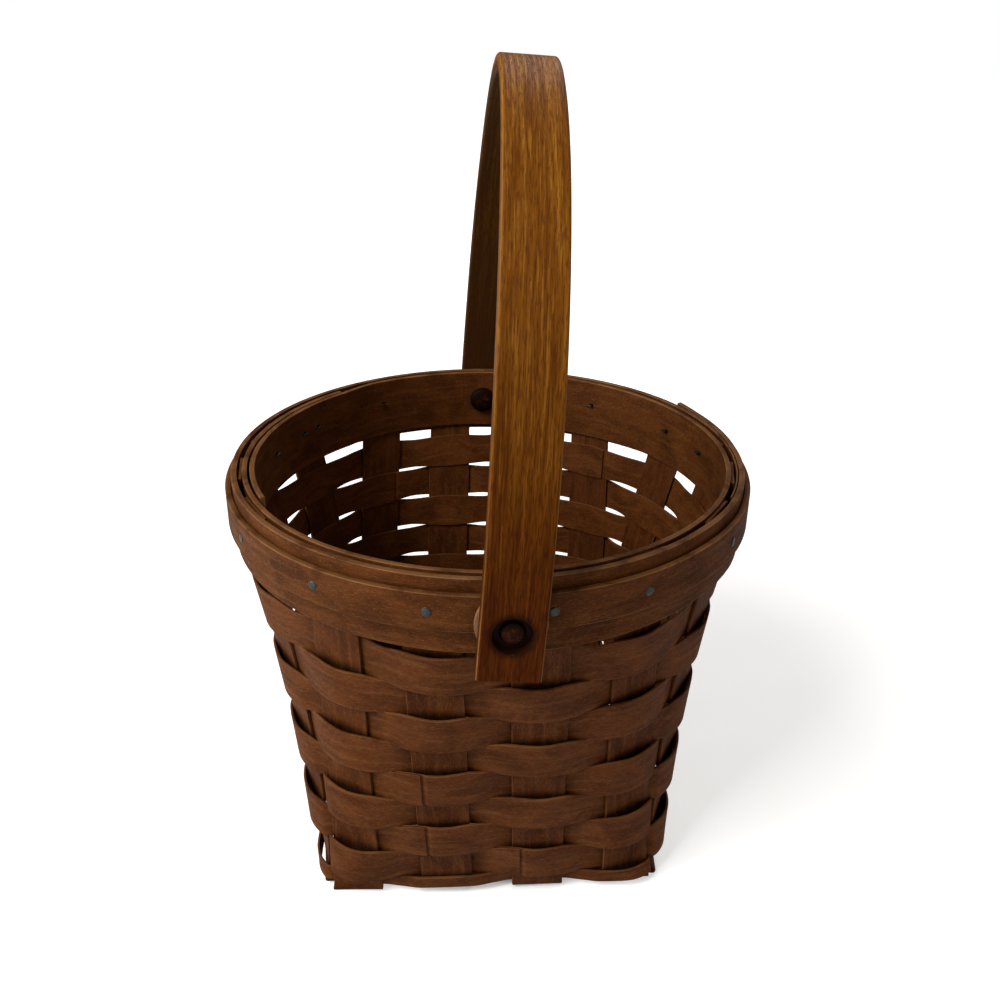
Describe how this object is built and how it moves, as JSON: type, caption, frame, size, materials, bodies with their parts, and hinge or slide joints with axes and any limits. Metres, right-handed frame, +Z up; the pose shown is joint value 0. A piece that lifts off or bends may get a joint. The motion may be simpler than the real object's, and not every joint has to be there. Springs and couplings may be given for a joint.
{
  "type": "splint basket with swing handle",
  "caption": "Square-bottomed, round-topped woven wood splint basket with a banded rim, tacked trim and a bent wooden handle that swings on pegs.",
  "frame": {"origin": "middle of the basket's outline, on the surface that it stands on", "axes": "+Z up out of the mouth, +Y along the handle's pegs towards the back, +X to the right of the side shown in the picture"},
  "size_m": [0.172, 0.185, 0.2594],
  "materials": {
    "stained_splint": "satin brown stain on thin splint",
    "stained_weaver": "satin brown stain on thin splint",
    "stained_band": "satin brown stain",
    "stained_handle": "satin golden brown stain on open-grained wood",
    "turned_peg": "stained, turned",
    "pale_spacer": "light stained",
    "blued_tack": "dulled blue grey"
  },
  "bodies": {
    "basket": {"stake_long_1": "stained_splint", "stake_long_2": "stained_splint", "stake_long_3": "stained_splint", "stake_long_4": "stained_splint", "stake_cross_1": "stained_splint", "stake_cross_2": "stained_splint", "stake_cross_3": "stained_splint", "stake_cross_4": "stained_splint", "weaver_1": "stained_weaver", "weaver_2": "stained_weaver", "weaver_3": "stained_weaver", "weaver_4": "stained_weaver", "weaver_5": "stained_weaver", "weaver_6": "stained_weaver", "weaver_7": "stained_weaver", "weaver_8": "stained_weaver", "weaver_9": "stained_weaver", "inner_band": "stained_band", "outer_band": "stained_band", "trim_strip": "stained_band", "tack_01": "blued_tack", "tack_02": "blued_tack", "tack_03": "blued_tack", "tack_04": "blued_tack", "tack_05": "blued_tack", "tack_06": "blued_tack", "tack_07": "blued_tack", "tack_08": "blued_tack", "tack_09": "blued_tack", "tack_10": "blued_tack", "tack_11": "blued_tack", "tack_12": "blued_tack", "tack_13": "blued_tack", "tack_14": "blued_tack", "tack_15": "blued_tack", "peg_front": "turned_peg", "peg_back": "turned_peg", "spacer_front": "pale_spacer", "spacer_back": "pale_spacer"},
    "swing_handle": {"handle": "stained_handle"}
  },
  "joints": [
    {"name": "handle_swing", "type": "hinge", "parent": "basket", "child": "swing_handle", "pos_m": [0.0022, 0, 0.1247], "axis": [0, 1, 0], "range_deg": [-140, 136]}
  ]
}
